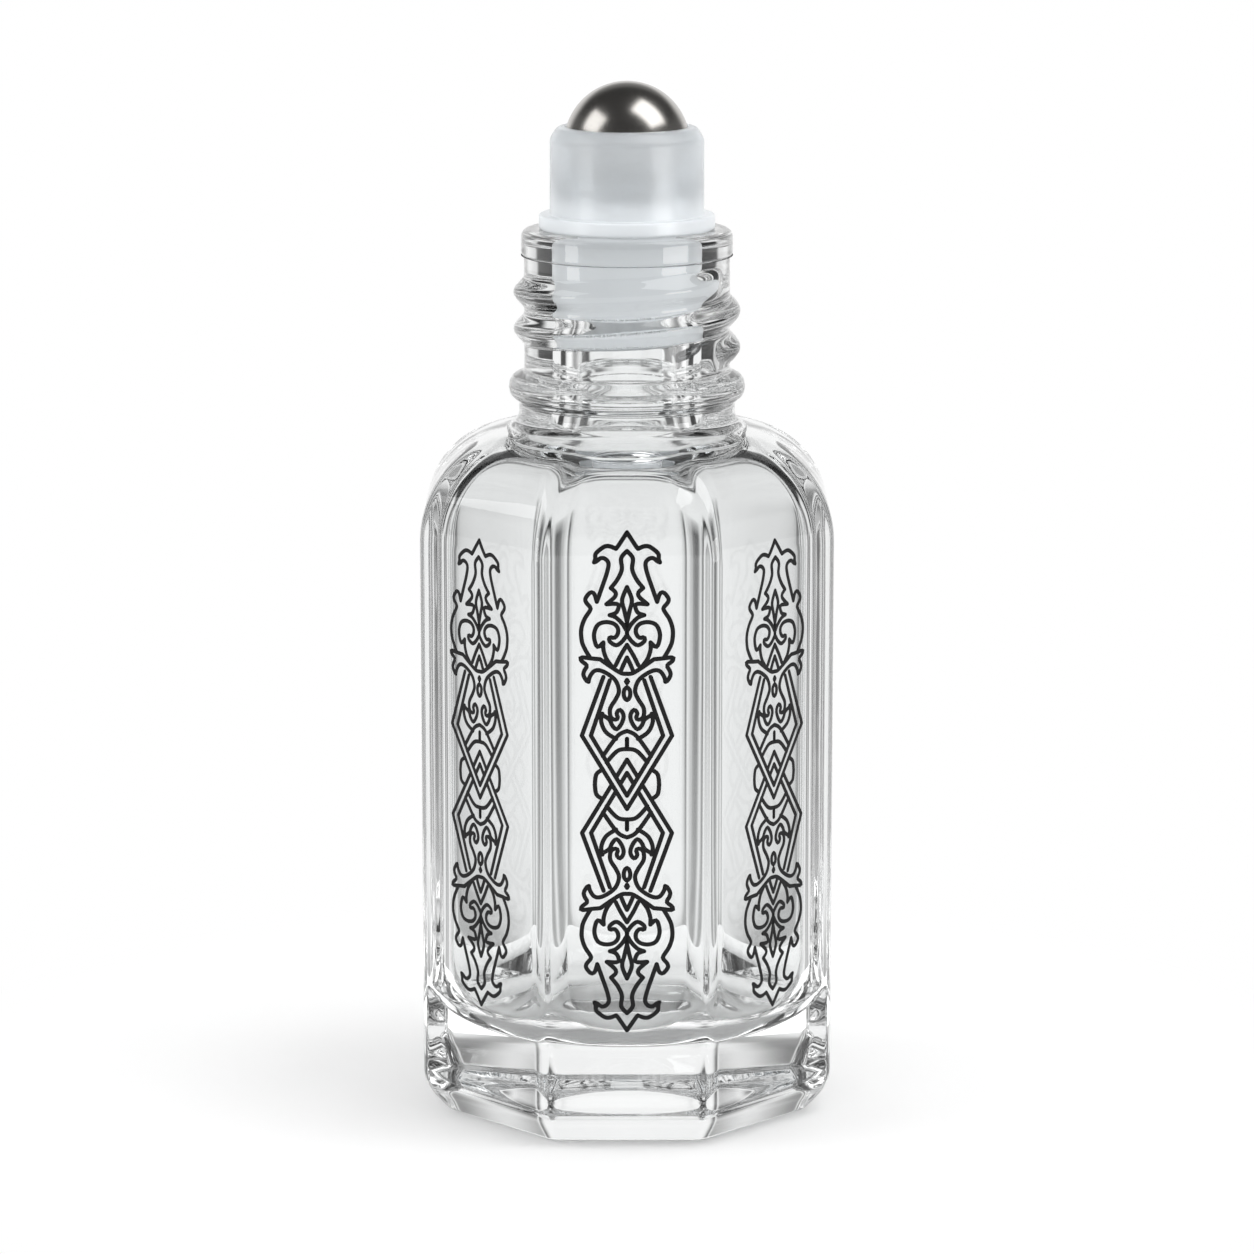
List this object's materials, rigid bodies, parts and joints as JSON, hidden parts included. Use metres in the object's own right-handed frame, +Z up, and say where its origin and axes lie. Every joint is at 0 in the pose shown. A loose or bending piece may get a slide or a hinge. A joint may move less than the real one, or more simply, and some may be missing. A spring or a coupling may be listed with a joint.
{
  "type": "roll-on bottle",
  "caption": "Octagonal clear glass roll-on bottle with a threaded neck, a push-in translucent ball housing and a polished steel roller ball.",
  "frame": {"origin": "middle of the base, on the surface that it stands on", "axes": "+Z up the bottle's axis, -Y out of the front panel, +X to the right of the front panel"},
  "size_m": [0.0262, 0.0262, 0.066],
  "materials": {
    "glass": "clear, fire-polished",
    "housing": "translucent, natural",
    "ball": "mirror polished"
  },
  "bodies": {
    "bottle": {"glass_bottle": "glass"},
    "housing": {"ball_housing": "housing"},
    "ball": {"roller_ball": "ball"}
  },
  "joints": [
    {"name": "housing_pull", "type": "slide", "parent": "bottle", "child": "housing", "axis": [0, 0, 1], "range_m": [0, 0.02]},
    {"name": "ball_roll", "type": "hinge", "parent": "housing", "child": "ball", "pos_m": [0, 0, 0.06203], "axis": [1, 0, 0], "continuous": true}
  ]
}
